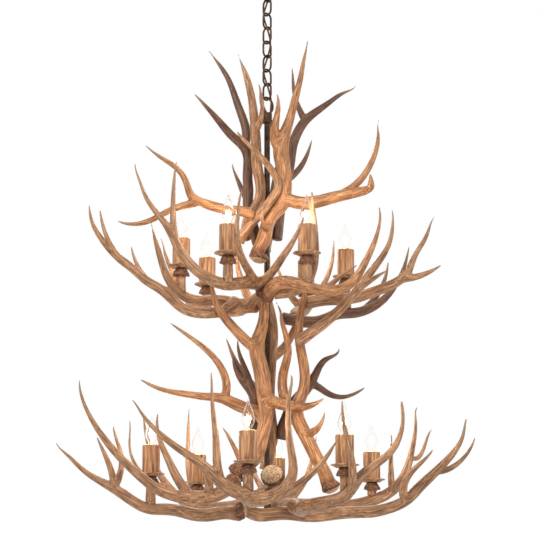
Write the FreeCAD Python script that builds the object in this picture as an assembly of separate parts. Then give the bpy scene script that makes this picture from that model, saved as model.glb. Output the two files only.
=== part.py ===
"""Two-tier antler chandelier on a chain, twelve candle lights.

Millimetres, +Z up. The origin is the ceiling face of the canopy, on the axis of the chain.
Everything below the chain is laid out from the hanging point, the bottom of the last link.
"""
import FreeCAD
import Part
import math
import os
from collections import namedtuple
from FreeCAD import Vector

os.makedirs("parts", exist_ok=True)

# ---- ceiling fittings ----
CANOPY_DIAMETER = 130.0
CANOPY_DEPTH = 28.0
CANOPY_WALL = 1.5
CANOPY_CORNER = 9.0
CROSSBAR_LENGTH = 106.0
CROSSBAR_WIDTH = 22.0
CROSSBAR_THICKNESS = 2.5
BOX_SCREW_SPACING = 88.9
BOX_SCREW_HOLE = 4.8
NIPPLE_DIAMETER = 9.6
NIPPLE_BORE = 6.0
NUT_WIDTH = 16.0
NUT_HEIGHT = 5.0
COLLAR_DIAMETER = 24.0
COLLAR_HEIGHT = 9.0
CORD_HOLE_OFFSET = 22.0
BUSHING_FLANGE = 2.5
THREAD_CLEARANCE = 0.1

# ---- chain ----
LINK_WIRE = 5.6
LINK_WIDTH = 35.0
LINK_INSIDE_LENGTH = 41.5
LINK_COUNT = 8
LINK_CLEARANCE = 0.3
CHAIN_AZIMUTH = 45.0
LOOP_WIRE = 6.4
CANOPY_LOOP_WIDTH = 38.0
CANOPY_LOOP_INSIDE = 26.0
FIXTURE_LOOP_WIDTH = 50.0
FIXTURE_LOOP_INSIDE = 38.0

# ---- supply cord, woven round the chain ----
CORD_DIAMETER = 5.0
CORD_WEAVE = 12.0
CORD_GAP = 8.0
CORD_END_IN_LINK = 26.0

# ---- stem ----
STEM_DIAMETER = 16.0
STEM_WALL = 2.0
STEM_LENGTH = 1078.0
CAP_DIAMETER = 27.0
CAP_HEIGHT = 18.0
STEM_NUT_WIDTH = 26.0
STEM_NUT_HEIGHT = 9.0

# ---- antlers ----
TINE_ROOT_SHARE = 0.8
BURR_HEIGHT = 8.0
RING_SPACING = 45.0
SAMPLE_SPACING = 7.0
PIN_DIAMETER = 5.0
PIN_CLEARANCE = 0.1
PIN_LENGTH = 28.0

# ---- candles ----
UPPER_SAUCER_DROP = 488.0
LOWER_SAUCER_DROP = 1041.0
SAUCER_DIAMETER = 73.0
SAUCER_DEPTH = 7.0
SAUCER_WALL = 1.6
SAUCER_FLAT = 46.0
POST_DIAMETER = 30.0
POST_BURR_DIAMETER = 42.0
POST_BURR_DROP = 12.0
POST_BURR_HEIGHT = 5.0
POST_NECK_DIAMETER = 25.0
POST_SEAM_TURN = 57.0
POST_SEAT = 2.0
CANDLE_NIPPLE_DIAMETER = 9.6
CANDLE_NIPPLE_DEPTH = 16.0
CANDLE_NUT_HEIGHT = 4.0
SOCKET_DIAMETER = 22.0
SOCKET_LENGTH = 70.0
SLEEVE_DIAMETER = 48.0
SLEEVE_WALL = 3.0
SLEEVE_HEIGHT = 82.0
SLEEVE_MOUTH = 25.0
BULB_BASE_DIAMETER = 12.0
BULB_BASE_LENGTH = 22.0
BULB_DIAMETER = 34.0
BULB_NECK_DIAMETER = 15.0
BULB_LENGTH = 86.0
BULB_WALL = 1.0
SEAT_CLEARANCE = 0.2

# Plan positions (x, y) of the candles, each with the antler that carries it.
UPPER_CANDLES = [
    (-231.0, -52.0, "upper_left_antler"),
    (-101.0, -214.0, "upper_front_antler"),
    (104.0, -214.0, "upper_burr_antler"),
    (218.0, 87.0, "upper_right_dark_antler"),
    (111.0, 232.0, "upper_back_right_antler"),
    (-170.0, 194.0, "upper_back_left_antler"),
]
LOWER_CANDLES = [
    (-308.0, 0.0, "lower_left_outer_antler"),
    (-46.0, -325.0, "lower_front_antler"),
    (197.0, -235.0, "lower_right_antler"),
    (288.0, 170.0, "lower_back_right_antler"),
    (28.0, 335.0, "lower_back_antler"),
    (-194.0, 245.0, "lower_back_left_antler"),
]

# ---- places that follow from the sizes above ----
CANOPY_LOOP_BAR_Z = (-CANOPY_DEPTH - COLLAR_HEIGHT - 1.5 * LOOP_WIRE - CANOPY_LOOP_INSIDE)
LINK_PITCH = LINK_INSIDE_LENGTH - LINK_CLEARANCE


def contact_z(count):
    """Height of the bar that the next link hangs on, after this many links."""
    first_bar = CANOPY_LOOP_BAR_Z + LOOP_WIRE / 2 + LINK_CLEARANCE - LINK_INSIDE_LENGTH - LINK_WIRE / 2
    return CANOPY_LOOP_BAR_Z if count == 0 else first_bar - (count - 1) * LINK_PITCH


HANG_Z = contact_z(LINK_COUNT)
CAP_TOP_Z = HANG_Z + LINK_WIRE / 2 + LINK_CLEARANCE - FIXTURE_LOOP_INSIDE - LOOP_WIRE + 1.0
STEM_TOP_Z = CAP_TOP_Z - CAP_HEIGHT / 2
CORD_RADIUS = CORD_DIAMETER / 2
STEM_CORD_OFFSET = CAP_DIAMETER / 2 - CORD_RADIUS - 1.4


# ---- general shapes ----
def cylinder(radius, low, high, x=0.0, y=0.0):
    return Part.makeCylinder(radius, high - low, Vector(x, y, low))


def turned(outline, x=0.0, y=0.0, z=0.0):
    """A solid of revolution from (radius, height) corners, about the vertical through x, y."""
    corners = [Vector(radius, 0, height) for radius, height in outline]
    face = Part.Face(Part.makePolygon(corners + corners[:1]))
    solid = face.revolve(Vector(0, 0, 0), Vector(0, 0, 1), 360)
    solid.translate(Vector(x, y, z))
    return solid


def hexagon(width, low, high, x=0.0, y=0.0):
    radius = width / math.sqrt(3)
    corners = [Vector(x + radius * math.cos(math.radians(60 * i)),
                      y + radius * math.sin(math.radians(60 * i)), low) for i in range(7)]
    return Part.Face(Part.makePolygon(corners)).extrude(Vector(0, 0, high - low))


def oval_ring(width, inside_length, wire, top_inside_z, azimuth):
    """A closed oval of round wire in a vertical plane, its inside top at the given height."""
    arc_radius = (width - wire) / 2
    straight = inside_length + wire - 2 * arc_radius
    upper_z = top_inside_z + wire / 2 - arc_radius
    lower_z = upper_z - straight
    arcs = []
    for z, turn_axis in ((upper_z, Vector(0, -1, 0)), (lower_z, Vector(0, 1, 0))):
        circle = Part.Circle(Vector(arc_radius, 0, z), Vector(0, 0, 1), wire / 2)
        section = Part.Face(Part.Wire([circle.toShape()]))
        arcs.append(section.revolve(Vector(0, 0, z), turn_axis, 180))
    sides = [cylinder(wire / 2, lower_z, upper_z, x) for x in (-arc_radius, arc_radius)]
    ring = arcs[0].fuse([arcs[1]] + sides) if straight > 0.01 else arcs[0].fuse(arcs[1])
    ring.rotate(Vector(0, 0, 0), Vector(0, 0, 1), azimuth)
    return ring


def route_tube(name, points, radius):
    """A round tube along straight runs joined by tangent arcs."""
    points = [Vector(*point) for point in points]
    edges, start, radii = [], points[0], []
    for before, corner, after in zip(points, points[1:], points[2:]):
        arrive, leave = (corner - before).normalize(), (after - corner).normalize()
        turn = arrive.getAngle(leave)
        shorter = min(corner.distanceToPoint(before), corner.distanceToPoint(after))
        cut = 0.45 * shorter
        bend = cut / math.tan(turn / 2)
        radii.append(round(bend))
        arc_start, arc_end = corner - arrive * cut, corner + leave * cut
        centre = corner + (leave - arrive).normalize() * (bend / math.cos(turn / 2))
        arc_middle = centre + (corner - centre).normalize() * bend
        edges += [Part.LineSegment(start, arc_start).toShape(),
                  Part.Arc(arc_start, arc_middle, arc_end).toShape()]
        start = arc_end
    edges.append(Part.LineSegment(start, points[-1]).toShape())
    path = Part.Wire(edges)
    section = Part.Wire([Part.Circle(points[0], points[1] - points[0], radius).toShape()])
    tube = path.makePipeShell([section], True, False)
    share = tube.Volume / (math.pi * radius ** 2 * path.Length)
    print(f"{name}: bends {radii} mm, length {path.Length:.0f} mm, volume share {share:.3f}")
    return tube


# ---- ceiling fittings and chain ----
def ceiling_crossbar():
    bar = Part.makeBox(CROSSBAR_LENGTH, CROSSBAR_WIDTH, CROSSBAR_THICKNESS,
                       Vector(-CROSSBAR_LENGTH / 2, -CROSSBAR_WIDTH / 2, -CROSSBAR_THICKNESS))
    holes = [cylinder(BOX_SCREW_HOLE / 2, -CROSSBAR_THICKNESS - 1, 1, side * BOX_SCREW_SPACING / 2)
             for side in (-1, 1)]
    holes.append(cylinder(NIPPLE_DIAMETER / 2 + THREAD_CLEARANCE, -CROSSBAR_THICKNESS - 1, 1))
    return bar.cut(holes)


def canopy_nipple():
    low = -CANOPY_DEPTH - COLLAR_HEIGHT + 1.0
    return cylinder(NIPPLE_DIAMETER / 2, low, 0).cut(cylinder(NIPPLE_BORE / 2, low, 0))


def nipple_nuts():
    bore = NIPPLE_DIAMETER / 2 + THREAD_CLEARANCE
    tops = (-CROSSBAR_THICKNESS, -CANOPY_DEPTH + CANOPY_WALL + NUT_HEIGHT)
    nuts = [hexagon(NUT_WIDTH, top - NUT_HEIGHT, top).cut(cylinder(bore, top - NUT_HEIGHT - 1, top + 1))
            for top in tops]
    return Part.makeCompound(nuts)


def ceiling_canopy():
    radius, corner, wall = CANOPY_DIAMETER / 2, CANOPY_CORNER, CANOPY_WALL
    outer = cylinder(radius, -CANOPY_DEPTH, 0)
    outer = outer.makeFillet(corner, [edge for edge in outer.Edges
                                      if abs(edge.BoundBox.ZMax + CANOPY_DEPTH) < 0.01])
    inner = cylinder(radius - wall, -CANOPY_DEPTH + wall, 1)
    inner = inner.makeFillet(corner - wall, [edge for edge in inner.Edges
                                             if abs(edge.BoundBox.ZMax + CANOPY_DEPTH - wall) < 0.01])
    nipple_hole = cylinder(NIPPLE_DIAMETER / 2 + THREAD_CLEARANCE, -CANOPY_DEPTH - 1, 0)
    cord_hole = cylinder(CORD_RADIUS + BUSHING_FLANGE, -CANOPY_DEPTH - 1, 0, CORD_HOLE_OFFSET)
    return outer.cut([inner, nipple_hole, cord_hole])


def cord_bushing():
    outer, low = CORD_RADIUS + BUSHING_FLANGE, -CANOPY_DEPTH
    collar = turned([(CORD_RADIUS + THREAD_CLEARANCE, -1.5), (outer + 2, -1.5), (outer + 2, -0.0),
                     (outer, 0.0), (outer, CANOPY_WALL), (outer + 1, CANOPY_WALL), (outer + 1, 3.0),
                     (CORD_RADIUS + THREAD_CLEARANCE, 3.0)], CORD_HOLE_OFFSET, 0, low)
    return collar


def canopy_loop():
    low = -CANOPY_DEPTH - COLLAR_HEIGHT
    collar = cylinder(COLLAR_DIAMETER / 2, low, -CANOPY_DEPTH)
    ring = oval_ring(CANOPY_LOOP_WIDTH, CANOPY_LOOP_INSIDE, LOOP_WIRE, low - LOOP_WIRE + 1.0, -CHAIN_AZIMUTH)
    ring.translate(Vector(0, 0, -1.0))
    neck = cylinder(LOOP_WIRE * 0.8, low - LOOP_WIRE / 2, low)
    bore = cylinder(NIPPLE_DIAMETER / 2 + THREAD_CLEARANCE, low + 1.0, -CANOPY_DEPTH)
    return collar.fuse([neck, ring]).cut(bore)


def chain_link(number):
    """Link 1 hangs on the canopy loop; every second one is turned a quarter."""
    top_inside_z = contact_z(number) + LINK_WIRE / 2 + LINK_INSIDE_LENGTH
    azimuth = CHAIN_AZIMUTH if number % 2 else -CHAIN_AZIMUTH
    return oval_ring(LINK_WIDTH, LINK_INSIDE_LENGTH, LINK_WIRE, top_inside_z, azimuth)


def fixture_loop():
    top_inside_z = HANG_Z + LINK_WIRE / 2 + LINK_CLEARANCE
    azimuth = CHAIN_AZIMUTH if LINK_COUNT % 2 == 0 else -CHAIN_AZIMUTH
    ring = oval_ring(FIXTURE_LOOP_WIDTH, FIXTURE_LOOP_INSIDE, LOOP_WIRE, top_inside_z, azimuth)
    low = CAP_TOP_Z - CAP_HEIGHT
    cap = cylinder(CAP_DIAMETER / 2, low, CAP_TOP_Z)
    cord_hole = cylinder(CORD_RADIUS + THREAD_CLEARANCE, STEM_TOP_Z + 1, CAP_TOP_Z + LOOP_WIRE,
                         STEM_CORD_OFFSET)
    stem_bore = cylinder(STEM_DIAMETER / 2 + THREAD_CLEARANCE, low - 1, STEM_TOP_Z)
    return cap.fuse(ring).cut([cord_hole, stem_bore])


# ---- supply cord ----
def weave_point(bar):
    """The cord goes a quarter turn round the chain for each link, and so through every link."""
    angle = math.radians(90 * bar)
    return (CORD_WEAVE * math.cos(angle), CORD_WEAVE * math.sin(angle), contact_z(bar))


def between(first, last, z):
    share = (first[2] - z) / (first[2] - last[2])
    return tuple(a + share * (b - a) for a, b in zip(first, last))


def cord_ceiling_end():
    start = -CANOPY_DEPTH + 14.0
    first, second = weave_point(0), weave_point(1)
    points = [(CORD_HOLE_OFFSET, 0, start), (CORD_HOLE_OFFSET, 0, -CANOPY_DEPTH - 8.0),
              (CORD_HOLE_OFFSET - 7.0, 0.5, -CANOPY_DEPTH - 27.0), first,
              between(first, second, contact_z(0) - CORD_GAP)]
    return route_tube("cord at the ceiling", points, CORD_RADIUS)


def supply_cord():
    last = LINK_COUNT - 1
    points = [between(weave_point(0), weave_point(1), contact_z(1) + CORD_END_IN_LINK)]
    points += [weave_point(bar) for bar in range(1, LINK_COUNT)]
    points.append(between(weave_point(last), weave_point(last + 1), contact_z(last) - CORD_GAP))
    return route_tube("cord in the chain", points, CORD_RADIUS)


def cord_fixture_end():
    last = weave_point(LINK_COUNT)
    points = [between(weave_point(LINK_COUNT - 1), last, HANG_Z + CORD_END_IN_LINK - 2.0), last,
              (STEM_CORD_OFFSET + 0.6, 0.6, CAP_TOP_Z + 14.0), (STEM_CORD_OFFSET, 0, CAP_TOP_Z + 2.0),
              (STEM_CORD_OFFSET, 0, STEM_TOP_Z + 1.5)]
    return route_tube("cord at the fixture", points, CORD_RADIUS)


# ---- stem ----
def stem_tube():
    outside = STEM_DIAMETER / 2
    low = STEM_TOP_Z - STEM_LENGTH
    return cylinder(outside, low, STEM_TOP_Z).cut(cylinder(outside - STEM_WALL, low, STEM_TOP_Z))


def stem_nut():
    bore = STEM_DIAMETER / 2 + THREAD_CLEARANCE
    high = CAP_TOP_Z - CAP_HEIGHT
    low = high - STEM_NUT_HEIGHT
    return hexagon(STEM_NUT_WIDTH, low, high).cut(cylinder(bore, low - 1, high))


# ---- antlers ----
# Each antler is a beam and its tines, as (x, y, z, diameter) with z below the hanging point.
# A tine starts at a numbered station of its beam.
Antler = namedtuple("Antler", "beam tines burr", defaults=([], True))

ANTLERS = {
    "crown_dark_left_antler": Antler(
        beam=[(-24, 25, -408, 30), (-52, 33, -292, 30), (-53, 30, -199, 28), (-59, 25, -137, 28),
              (-103, 10, -95, 24), (-155, -10, -38, 15), (-201, -20, 11, 4)],
        tines=[(3, [(-59, 40, -75, 26), (-82, 50, 1, 22), (-116, 55, 91, 15), (-165, 60, 164, 4)])],
        burr=False,
    ),
    "crown_tall_antler": Antler(
        beam=[(-71, -40, -403, 34), (-41, -22, -331, 31), (-18, -12, -275, 30), (-28, -22, -193, 30),
              (-33, -40, -99, 28), (-50, -62, 23, 20), (-80, -75, 108, 4)],
        tines=[(4, [(-14, -90, -68, 14), (-14, -110, -29, 9), (-22, -118, 2, 3)])],
    ),
    "crown_front_antler": Antler(
        beam=[(-74, -55, -418, 28), (-47, -67, -374, 27), (3, -77, -317, 25), (30, -76, -261, 22),
              (-3, -84, -204, 18), (-54, -95, -151, 12), (-81, -102, -120, 4)],
        burr=False,
    ),
    "crown_fork_antler": Antler(
        beam=[(-24, -45, -465, 46), (-14, -45, -418, 38), (13, -50, -344, 38), (42, -52, -299, 44),
              (46, -52, -229, 40), (38, -50, -158, 44), (63, -60, -70, 24), (90, -75, 34, 17),
              (111, -85, 142, 4)],
        tines=[(3, [(102, -75, -314, 36), (196, -110, -303, 32), (253, -140, -297, 26),
                    (275, -175, -293, 20), (273, -190, -262, 4)]),
               (3, [(102, -75, -314, 30), (180, -100, -303, 26), (228, -105, -280, 22),
                    (267, -100, -234, 18), (295, -96, -171, 14), (304, -92, -83, 4)]),
               (5, [(19, -70, -102, 24), (30, -95, -53, 14), (27, -105, -16, 4)]),
               (2, [(-8, -82, -385, 14), (-13, -108, -358, 10), (-8, -114, -329, 3)])],
    ),
    "crown_dark_right_antler": Antler(
        beam=[(27, 36, -391, 30), (38, 40, -296, 28), (61, 45, -189, 28), (78, 50, -95, 28),
              (106, 60, -43, 26), (149, 70, -4, 20), (189, 80, 28, 14), (252, 95, 74, 4)],
        tines=[(4, [(81, 80, 25, 14), (73, 95, 89, 9), (71, 100, 127, 3)])],
        burr=False,
    ),
    "crown_left_antler": Antler(
        beam=[(-39, -79, -353, 28), (-67, -95, -342, 28), (-110, -110, -342, 27),
              (-154, -121, -327, 26), (-190, -125, -326, 26), (-211, -130, -278, 19),
              (-243, -138, -233, 15), (-283, -145, -207, 11), (-325, -150, -174, 4)],
        tines=[(4, [(-224, -120, -333, 21), (-272, -120, -353, 18), (-325, -125, -379, 15),
                    (-359, -128, -385, 11), (-398, -130, -377, 4)])],
        burr=False,
    ),
    "crown_back_antler": Antler(
        beam=[(-6, 17, -427, 34), (14, 53, -301, 30), (25, 95, -219, 28), (36, 120, -125, 24),
              (14, 140, -45, 18), (-15, 150, 35, 12), (-26, 155, 97, 4)],
        tines=[(2, [(65, 150, -184, 20), (108, 190, -120, 15), (129, 205, -56, 4)]),
               (1, [(-43, 110, -273, 20), (-77, 150, -207, 15), (-100, 170, -137, 4)])],
        burr=False,
    ),
    "upper_front_antler": Antler(
        beam=[(-5, -73, -557, 42), (-29, -107, -542, 36), (-74, -180, -557, 34), (-122, -214, -563, 32),
              (-166, -222, -543, 28), (-202, -226, -512, 27), (-231, -230, -471, 26),
              (-252, -234, -426, 21), (-283, -236, -387, 16), (-318, -240, -334, 11),
              (-345, -242, -251, 4)],
        tines=[(6, [(-242, -228, -425, 19), (-245, -226, -357, 14), (-243, -226, -290, 9),
                    (-237, -226, -240, 4)]),
               (1, [(-51, -197, -520, 22), (-74, -262, -478, 19), (-77, -275, -409, 13),
                    (-64, -278, -330, 4)]),
               (1, [(1, -164, -537, 24), (42, -226, -494, 20), (75, -258, -448, 13),
                    (95, -266, -399, 4)])],
    ),
    "upper_left_low_antler": Antler(
        beam=[(-85, -38, -580, 36), (-117, -86, -612, 30), (-163, -119, -625, 28),
              (-225, -127, -612, 27), (-269, -130, -570, 26), (-309, -132, -546, 25),
              (-351, -135, -511, 23), (-394, -138, -477, 22), (-434, -140, -434, 17),
              (-464, -142, -383, 11), (-473, -143, -336, 4)],
        tines=[(7, [(-422, -155, -429, 13), (-436, -162, -385, 9), (-441, -165, -356, 4)])],
        burr=False,
    ),
    "upper_left_antler": Antler(
        beam=[(-2, 0, -568, 34), (-70, -21, -580, 34), (-148, -30, -572, 30), (-196, -45, -575, 28),
              (-239, -52, -554, 27), (-265, -76, -521, 22), (-291, -92, -448, 16),
              (-311, -98, -369, 4)],
        tines=[(4, [(-289, -20, -537, 20), (-329, 0, -505, 16), (-358, 10, -458, 11),
                    (-372, 14, -413, 4)])],
        burr=False,
    ),
    "upper_right_antler": Antler(
        beam=[(89, -40, -587, 36), (147, -60, -577, 33), (208, -75, -578, 31), (269, -85, -566, 30),
              (317, -92, -548, 28), (359, -96, -528, 26), (389, -100, -477, 17), (422, -104, -417, 12),
              (449, -106, -360, 4)],
        tines=[(5, [(402, -100, -520, 18), (436, -104, -510, 12), (463, -106, -492, 4)])],
        burr=False,
    ),
    "upper_diagonal_antler": Antler(
        beam=[(83, -64, -691, 34), (101, -77, -680, 32), (130, -96, -663, 29), (164, -116, -640, 27),
              (205, -134, -603, 25), (240, -140, -564, 24), (285, -146, -503, 20),
              (314, -148, -463, 16), (331, -149, -411, 11), (332, -150, -352, 4)],
        tines=[(5, [(265, -155, -548, 16), (291, -165, -534, 11), (317, -170, -519, 4)])],
        burr=False,
    ),
    "upper_burr_antler": Antler(
        beam=[(-4, -111, -578, 36), (23, -168, -558, 38), (56, -206, -557, 33), (99, -213, -570, 30),
              (150, -212, -583, 29), (203, -208, -572, 27), (242, -206, -532, 22),
              (271, -205, -473, 16), (293, -204, -414, 10), (294, -204, -357, 4)],
        tines=[(4, [(180, -190, -550, 13), (209, -184, -527, 9), (237, -180, -507, 3)])],
    ),
    "upper_right_dark_antler": Antler(
        beam=[(41, 36, -609, 34), (131, 60, -615, 32), (201, 80, -589, 30), (256, 88, -582, 28),
              (306, 92, -559, 24), (346, 96, -519, 17), (380, 100, -456, 12), (396, 104, -392, 4)],
        tines=[(3, [(291, 115, -549, 18), (326, 130, -489, 13), (339, 138, -430, 4)])],
        burr=False,
    ),
    "upper_spike_antler": Antler(
        beam=[(19, -133, -576, 30), (71, -147, -569, 30), (105, -158, -546, 29), (121, -160, -495, 29),
              (124, -165, -437, 26), (121, -170, -370, 18), (119, -172, -306, 4)],
        burr=False,
    ),
    "upper_back_left_antler": Antler(
        beam=[(-29, 70, -571, 36), (-98, 114, -575, 32), (-154, 160, -569, 30), (-178, 194, -557, 29),
              (-219, 215, -530, 25), (-254, 232, -474, 18), (-284, 245, -407, 12),
              (-308, 250, -335, 4)],
        tines=[(3, [(-168, 225, -528, 22), (-158, 250, -465, 16), (-153, 262, -386, 4)])],
        burr=False,
    ),
    "upper_back_right_antler": Antler(
        beam=[(71, 72, -603, 36), (84, 125, -576, 32), (102, 179, -562, 31), (110, 230, -547, 29),
              (128, 265, -520, 24), (164, 290, -462, 17), (188, 300, -395, 11), (194, 304, -329, 4)],
        tines=[(3, [(82, 262, -521, 22), (48, 284, -463, 15), (25, 294, -396, 4)])],
        burr=False,
    ),
    "upper_back_antler": Antler(
        beam=[(-4, 49, -568, 34), (-31, 129, -555, 30), (-48, 195, -528, 28), (-66, 240, -484, 23),
              (-84, 262, -421, 15), (-90, 270, -354, 4)],
        tines=[(2, [(-15, 225, -499, 20), (2, 250, -447, 14), (8, 260, -386, 4)])],
        burr=False,
    ),
    "column_front_antler": Antler(
        beam=[(-84, -70, -1048, 44), (-55, -78, -1023, 38), (-26, -82, -992, 36), (-13, -80, -947, 36),
              (-3, -78, -897, 38), (-6, -74, -835, 44), (-16, -70, -768, 42), (-27, -66, -709, 42),
              (-13, -66, -646, 30), (-5, -66, -584, 26), (-11, -60, -523, 16)],
        tines=[(5, [(34, -86, -861, 30), (82, -72, -867, 26), (118, -98, -865, 16),
                    (149, -112, -849, 5)]),
               (7, [(-64, -85, -685, 28), (-95, -98, -652, 26), (-126, -126, -617, 21),
                    (-141, -160, -578, 14), (-149, -166, -534, 4)]),
               (1, [(-75, -95, -996, 16), (-94, -105, -960, 11), (-117, -112, -925, 3)])],
    ),
    "column_right_antler": Antler(
        beam=[(171, -40, -1082, 44), (150, -45, -1035, 36), (127, -48, -991, 35), (100, -48, -935, 36),
              (77, -46, -882, 40), (96, -44, -818, 30), (101, -44, -770, 28), (91, -48, -716, 27),
              (85, -54, -663, 24), (91, -61, -610, 20), (101, -74, -558, 12)],
        tines=[(4, [(43, -38, -833, 28), (45, -36, -768, 26), (56, -70, -715, 20), (43, -80, -649, 13),
                    (24, -84, -588, 4)]),
               (3, [(129, -75, -928, 18), (144, -88, -906, 12), (152, -95, -883, 4)])],
    ),
    "column_dark_left_antler": Antler(
        beam=[(-30, 46, -951, 34), (-32, 42, -887, 32), (-35, 38, -822, 30), (-65, 46, -778, 24),
              (-84, 50, -744, 17), (-94, 52, -708, 4)],
        tines=[(2, [(-54, 30, -764, 18), (-73, 20, -716, 12), (-79, 16, -673, 4)])],
        burr=False,
    ),
    "column_left_antler": Antler(
        beam=[(-8, -52, -908, 36), (-41, -44, -870, 34), (-80, -50, -858, 32), (-114, -61, -844, 28),
              (-153, -75, -841, 22), (-213, -90, -835, 18), (-280, -105, -824, 13),
              (-332, -115, -800, 4)],
        tines=[(3, [(-108, -70, -800, 22), (-135, -80, -743, 18), (-177, -90, -704, 14),
                    (-219, -95, -673, 10), (-257, -100, -647, 4)])],
        burr=False,
    ),
    "column_right_dark_antler": Antler(
        beam=[(41, 40, -941, 36), (53, 36, -882, 36), (89, 30, -824, 32), (118, 20, -790, 26),
              (143, 5, -746, 19), (169, -8, -721, 13), (193, -15, -698, 4)],
        tines=[(3, [(154, 30, -810, 19), (197, 35, -826, 14), (235, 40, -817, 10),
                    (265, 44, -799, 4)])],
        burr=False,
    ),
    "column_core_antler": Antler(
        beam=[(-3, 50, -1021, 38), (11, 43, -941, 36), (3, 25, -835, 36), (8, 25, -726, 36),
              (13, 31, -643, 34), (3, 44, -568, 28), (-14, 38, -503, 18)],
        tines=[(3, [(52, 60, -679, 24), (79, 70, -622, 18), (102, 76, -551, 5)]),
               (2, [(-41, 80, -786, 22), (-86, 110, -718, 15), (-114, 125, -649, 4)])],
        burr=False,
    ),
    "lower_front_antler": Antler(
        beam=[(2, -115, -1100, 40), (-23, -190, -1118, 39), (-40, -260, -1126, 38),
              (-41, -325, -1124, 37), (-71, -332, -1112, 35), (-110, -336, -1093, 34),
              (-145, -340, -1056, 26), (-197, -344, -1020, 21), (-249, -348, -983, 16),
              (-293, -352, -941, 11), (-333, -355, -886, 4)],
        tines=[(5, [(-123, -330, -1043, 22), (-126, -328, -978, 18), (-134, -328, -908, 12),
                    (-139, -330, -813, 4)]),
               (3, [(-12, -325, -1128, 34), (23, -320, -1116, 32), (55, -314, -1091, 29),
                    (65, -312, -1044, 23), (58, -312, -994, 19), (53, -314, -919, 15),
                    (58, -316, -862, 10), (61, -318, -818, 4)]),
               (3, [(38, -290, -1116, 24), (90, -275, -1080, 20), (138, -270, -1034, 14),
                    (184, -268, -966, 4)])],
        burr=False,
    ),
    "lower_left_antler": Antler(
        beam=[(-81, -87, -1062, 44), (-115, -108, -1092, 38), (-155, -115, -1107, 37),
              (-197, -121, -1109, 37), (-245, -124, -1102, 30), (-289, -126, -1084, 27),
              (-333, -128, -1048, 25), (-375, -130, -1010, 22), (-417, -132, -963, 18),
              (-454, -133, -909, 13), (-481, -134, -852, 9), (-489, -134, -804, 4)],
        tines=[(3, [(-237, -80, -1049, 24), (-262, -62, -998, 19), (-282, -55, -952, 14),
                    (-290, -52, -915, 9), (-288, -50, -880, 4)]),
               (2, [(-150, -146, -1063, 20), (-158, -158, -1042, 14)])],
    ),
    "lower_left_outer_antler": Antler(
        beam=[(-59, -33, -1133, 40), (-101, -35, -1141, 36), (-152, -33, -1146, 35),
              (-202, -25, -1144, 34), (-251, -10, -1129, 32), (-296, 0, -1131, 31),
              (-336, -2, -1118, 29), (-368, -4, -1100, 28), (-405, -6, -1074, 27),
              (-448, -8, -1053, 19), (-490, -10, -1024, 14), (-525, -12, -992, 10),
              (-560, -14, -955, 4)],
        tines=[(8, [(-415, -25, -1018, 17), (-434, -32, -976, 11), (-450, -36, -942, 4)]),
               (8, [(-387, 20, -1010, 16), (-400, 30, -953, 11), (-413, 34, -904, 4)])],
    ),
    "lower_bottom_antler": Antler(
        beam=[(-76, -12, -1125, 34), (-32, -6, -1142, 36), (48, -8, -1140, 36), (118, -30, -1148, 36),
              (191, -62, -1144, 33), (237, -75, -1142, 32), (284, -78, -1140, 31),
              (325, -80, -1129, 30), (362, -82, -1112, 29), (398, -84, -1078, 28),
              (441, -86, -1037, 24), (478, -88, -1000, 19), (505, -89, -964, 13), (523, -90, -899, 4)],
        tines=[(10, [(468, -70, -1032, 17), (506, -62, -1011, 13), (531, -58, -981, 9),
                    (548, -56, -946, 4)]),
               (8, [(355, -110, -1075, 20), (383, -125, -1033, 14), (411, -132, -1008, 10),
                    (429, -135, -986, 4)])],
        burr=False,
    ),
    "lower_back_right_antler": Antler(
        beam=[(6, 0, -1112, 38), (41, 84, -1109, 36), (117, 125, -1108, 34), (185, 150, -1109, 34),
              (249, 165, -1103, 33), (299, 172, -1088, 32), (346, 176, -1064, 29),
              (377, 180, -1025, 25), (395, 182, -975, 19), (407, 184, -925, 13), (416, 186, -833, 4)],
        tines=[(8, [(418, 200, -973, 14), (439, 208, -933, 10), (460, 212, -891, 4)]),
               (6, [(339, 140, -1034, 18), (338, 122, -987, 13), (340, 112, -918, 4)])],
        burr=False,
    ),
    "lower_right_antler": Antler(
        beam=[(73, -28, -1123, 38), (88, -89, -1137, 38), (95, -154, -1135, 37), (129, -205, -1131, 35),
              (174, -230, -1123, 34), (209, -238, -1104, 33), (227, -242, -1072, 27),
              (265, -246, -1042, 22), (310, -250, -1007, 19), (336, -252, -964, 14),
              (344, -253, -919, 10), (341, -254, -875, 4)],
        tines=[(5, [(215, -280, -1063, 22), (205, -294, -999, 17), (193, -298, -942, 11),
                    (189, -300, -880, 4)])],
        burr=False,
    ),
    "lower_back_left_antler": Antler(
        beam=[(-5, 1, -1102, 38), (-34, 55, -1101, 37), (-84, 130, -1111, 36), (-129, 185, -1112, 35),
              (-170, 235, -1108, 34), (-204, 258, -1101, 33), (-239, 275, -1083, 28),
              (-279, 290, -1043, 22), (-314, 300, -991, 17), (-338, 306, -922, 12),
              (-356, 310, -829, 4)],
        tines=[(5, [(-212, 302, -1056, 20), (-224, 314, -981, 16), (-225, 318, -904, 11),
                    (-224, 322, -818, 4)]),
               (7, [(-329, 270, -1028, 15), (-374, 262, -978, 10), (-389, 258, -860, 4)])],
        burr=False,
    ),
    "lower_back_antler": Antler(
        beam=[(25, 94, -1100, 38), (24, 174, -1103, 36), (25, 250, -1107, 34), (28, 315, -1108, 33),
              (42, 350, -1100, 30), (71, 378, -1069, 24), (106, 395, -1022, 18), (129, 404, -958, 12),
              (141, 408, -888, 4)],
        tines=[(4, [(2, 385, -1063, 22), (-32, 405, -1009, 16), (-56, 414, -945, 11),
                    (-68, 418, -875, 4)])],
    ),
    "lower_burr_antler": Antler(
        beam=[(13, -240, -1059, 54), (16, -225, -1065, 44), (21, -185, -1074, 40),
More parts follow.
